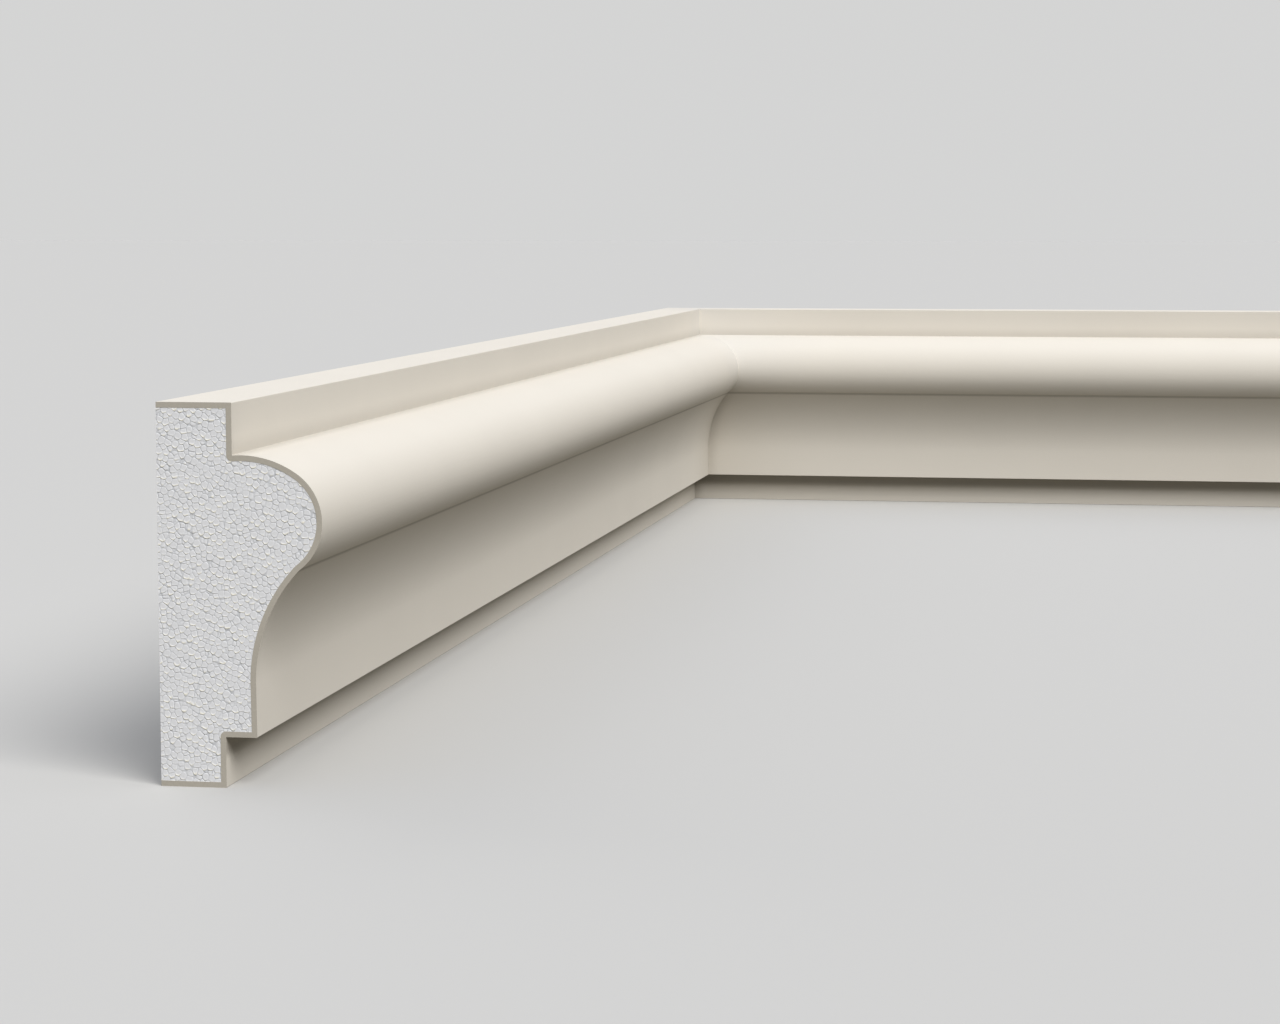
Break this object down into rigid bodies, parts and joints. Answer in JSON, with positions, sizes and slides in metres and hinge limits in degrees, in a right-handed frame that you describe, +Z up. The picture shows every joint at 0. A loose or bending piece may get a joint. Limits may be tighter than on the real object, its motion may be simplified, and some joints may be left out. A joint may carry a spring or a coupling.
{
  "type": "polystyrene facade moulding",
  "caption": "Coated polystyrene moulding in two runs mitred for an inside corner, with square fillets, a torus nose, a deep hollow and square-cut ends.",
  "frame": {"origin": "middle of the box, at the level of the underside", "axes": "+Z up; the left run lies along Y and the right run along X; the corner where the two backs meet is at the lowest X and the highest Y; -Y faces the viewer"},
  "size_m": [1, 1.264, 0.15],
  "materials": {
    "foam": "white expanded polystyrene, hot-wire cut, its beads showing at the cut ends and the back",
    "coat": "hard mineral and acrylic coat, painted warm cream, fine and matt, greige where it is cut"
  },
  "bodies": {
    "root": {"left_foam_core": "foam", "left_coat": "coat", "right_foam_core": "foam", "right_coat": "coat"}
  },
  "joints": []
}
